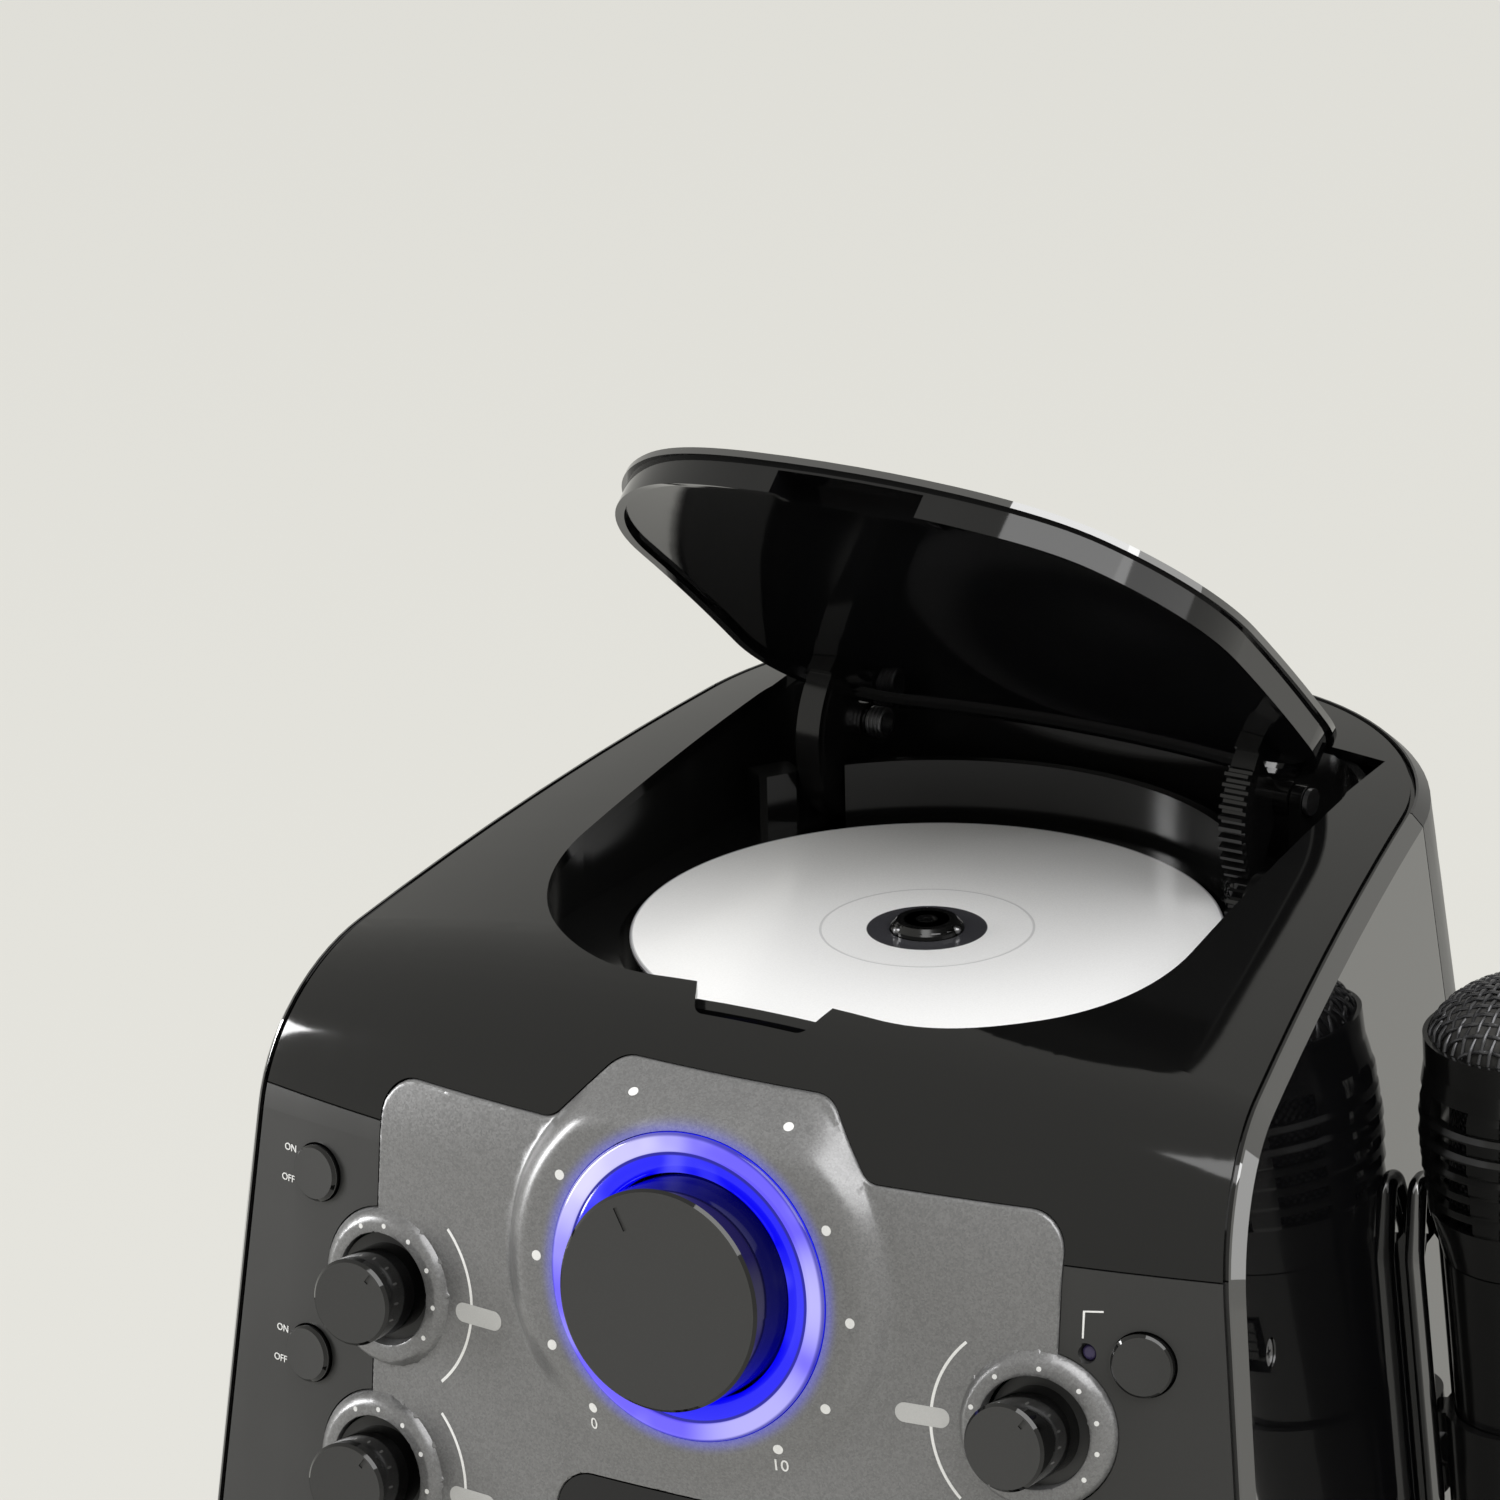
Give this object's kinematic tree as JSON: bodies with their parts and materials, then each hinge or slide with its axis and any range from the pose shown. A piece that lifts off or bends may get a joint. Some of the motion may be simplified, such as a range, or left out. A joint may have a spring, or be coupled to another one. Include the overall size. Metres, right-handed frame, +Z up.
{
  "type": "karaoke machine with disc tray",
  "caption": "Table-top karaoke machine with a top disc deck under a hinged lid, a lit volume knob, smaller knobs and buttons, a loudspeaker and a microphone in a side holder.",
  "frame": {"origin": "on the floor plane under the feet, on the cabinet's plane of symmetry and in the middle of the machine's whole depth, 8.5 mm behind the disc spindle", "axes": "+Z up, -Y towards the user (the face with the knobs), +X to the user's right, where the microphone hangs"},
  "size_m": [0.2859, 0.2633, 0.4139],
  "materials": {
    "shell_black": "dark semi-gloss moulded plastic",
    "panel_gloss": "high-gloss black plastic",
    "panel_grey": "fine metallic grey paint",
    "black_plastic": "matt black plastic",
    "steel": "bare steel",
    "rubber": "black rubber",
    "disc_white": "printable white disc face",
    "light_blue": "translucent light guide, lit blue",
    "window_dark": "smoked clear window",
    "board_green": "solder-masked board",
    "copper": "lacquered core and winding",
    "cone_paper": "pressed paper cone",
    "mesh_black": "black wire mesh",
    "nylon": "natural nylon",
    "lens_clear": "coated lens"
  },
  "bodies": {
    "cabinet": {"upper_shell": "shell_black", "front_fascia": "shell_black", "control_panel": "panel_grey", "side_panel_left": "panel_gloss", "side_panel_right": "panel_gloss", "inner_frame": "black_plastic", "rear_cover": "shell_black", "base_plate": "black_plastic", "feet": "rubber", "disc_well": "black_plastic", "mechanism_plate": "steel", "deck_motors": "steel", "guide_rods": "steel", "hinge_brackets": "black_plastic", "hinge_pins": "steel", "damper_housing": "black_plastic", "lid_spring": "steel", "volume_ring": "light_blue", "status_led": "lens_clear", "display_window": "window_dark", "display_module": "black_plastic", "control_board": "board_green", "main_board": "board_green", "power_transformer": "copper", "speaker_frame": "steel", "speaker_cone": "cone_paper", "speaker_grille": "mesh_black", "mic_sockets": "steel", "power_inlet": "black_plastic", "rear_sockets": "steel", "case_screws": "steel", "mic_holder": "panel_gloss", "holder_clamp": "black_plastic"},
    "lid": {"lid_cover": "panel_gloss", "lid_liner": "shell_black", "hinge_arm_left": "black_plastic", "hinge_arm_right": "black_plastic"},
    "damper_gear": {"damper_gear": "black_plastic"},
    "turntable": {"disc": "disc_white", "spindle_hub": "black_plastic"},
    "pickup": {"pickup_sled": "black_plastic", "pickup_lens": "lens_clear"},
    "feed_gear": {"feed_gear": "nylon"},
    "volume_knob": {"volume_knob": "shell_black"},
    "echo_knob": {"echo_knob": "shell_black"},
    "mic_knob": {"mic_knob": "shell_black"},
    "balance_knob": {"balance_knob": "shell_black"},
    "music_knob": {"music_knob": "shell_black"},
    "power_button": {"power_button": "shell_black"},
    "light_button": {"light_button": "shell_black"},
    "pair_button": {"pair_button": "shell_black"},
    "key_previous": {"key_previous": "shell_black"},
    "key_play": {"key_play": "shell_black"},
    "key_next": {"key_next": "shell_black"},
    "key_stop": {"key_stop": "shell_black"},
    "microphone": {"mic_body": "black_plastic", "mic_basket": "black_plastic", "mic_grille": "mesh_black"},
    "mic_switch": {"mic_switch": "black_plastic"}
  },
  "joints": [
    {"name": "lid_hinge", "type": "hinge", "parent": "cabinet", "child": "lid", "pos_m": [0, 0.05, 0.3255], "axis": [1, 0, 0], "range_deg": [0, 50]},
    {"name": "damper_spin", "type": "hinge", "parent": "cabinet", "child": "damper_gear", "pos_m": [0.0521, 0.02978, 0.30912], "axis": [1, 0, 0], "range_deg": [-288, 1]},
    {"name": "turntable_spin", "type": "hinge", "parent": "cabinet", "child": "turntable", "pos_m": [0, -0.0085, 0.308], "axis": [0, 0, 1], "continuous": true},
    {"name": "pickup_slide", "type": "slide", "parent": "cabinet", "child": "pickup", "axis": [0, -1, 0], "range_m": [0, 0.032]},
    {"name": "feed_gear_spin", "type": "hinge", "parent": "cabinet", "child": "feed_gear", "pos_m": [0.02295, -0.0485, 0.2921], "axis": [0, 0, 1], "range_deg": [-1, 460]},
    {"name": "volume_knob_turn", "type": "hinge", "parent": "cabinet", "child": "volume_knob", "pos_m": [0, -0.10075, 0.265], "axis": [0, -0.9936, 0.1132], "range_deg": [-176, 114]},
    {"name": "echo_knob_turn", "type": "hinge", "parent": "cabinet", "child": "echo_knob", "pos_m": [-0.0748, -0.09668, 0.2478], "axis": [0, -0.9936, 0.1132], "range_deg": [-104, 176]},
    {"name": "mic_knob_turn", "type": "hinge", "parent": "cabinet", "child": "mic_knob", "pos_m": [-0.0748, -0.10104, 0.2095], "axis": [0, -0.9936, 0.1132], "range_deg": [-104, 176]},
    {"name": "balance_knob_turn", "type": "hinge", "parent": "cabinet", "child": "balance_knob", "pos_m": [0.0748, -0.09668, 0.2478], "axis": [0, -0.9936, 0.1132], "range_deg": [-104, 176]},
    {"name": "music_knob_turn", "type": "hinge", "parent": "cabinet", "child": "music_knob", "pos_m": [0.0748, -0.10104, 0.2095], "axis": [0, -0.9936, 0.1132], "range_deg": [-104, 176]},
    {"name": "power_button_press", "type": "slide", "parent": "cabinet", "child": "power_button", "axis": [0, 0.9936, -0.1132], "range_m": [0, 0.002], "stiffness_N_per_m": 400, "springref_m": -0.001},
    {"name": "light_button_press", "type": "slide", "parent": "cabinet", "child": "light_button", "axis": [0, 0.9936, -0.1132], "range_m": [0, 0.002], "stiffness_N_per_m": 400, "springref_m": -0.001},
    {"name": "pair_button_press", "type": "slide", "parent": "cabinet", "child": "pair_button", "axis": [0, 0.9936, -0.1132], "range_m": [0, 0.002], "stiffness_N_per_m": 400, "springref_m": -0.001},
    {"name": "key_previous_press", "type": "slide", "parent": "cabinet", "child": "key_previous", "axis": [0, 0.9936, -0.1132], "range_m": [0, 0.0012], "stiffness_N_per_m": 400, "springref_m": -0.001},
    {"name": "key_play_press", "type": "slide", "parent": "cabinet", "child": "key_play", "axis": [0, 0.9936, -0.1132], "range_m": [0, 0.0012], "stiffness_N_per_m": 400, "springref_m": -0.001},
    {"name": "key_next_press", "type": "slide", "parent": "cabinet", "child": "key_next", "axis": [0, 0.9936, -0.1132], "range_m": [0, 0.0012], "stiffness_N_per_m": 400, "springref_m": -0.001},
    {"name": "key_stop_press", "type": "slide", "parent": "cabinet", "child": "key_stop", "axis": [0, 0.9936, -0.1132], "range_m": [0, 0.0012], "stiffness_N_per_m": 400, "springref_m": -0.001},
    {"name": "microphone_lift", "type": "slide", "parent": "cabinet", "child": "microphone", "axis": [0, 0, 1], "range_m": [0, 0.12]},
    {"name": "mic_switch_slide", "type": "slide", "parent": "microphone", "child": "mic_switch", "axis": [0, 0, -1], "range_m": [0, 0.0034]}
  ],
  "couplings": [
    {"joint": "damper_spin", "follows": "lid_hinge", "ratio": -5.7273},
    {"joint": "feed_gear_spin", "follows": "pickup_slide", "rad_per_m": 250}
  ]
}
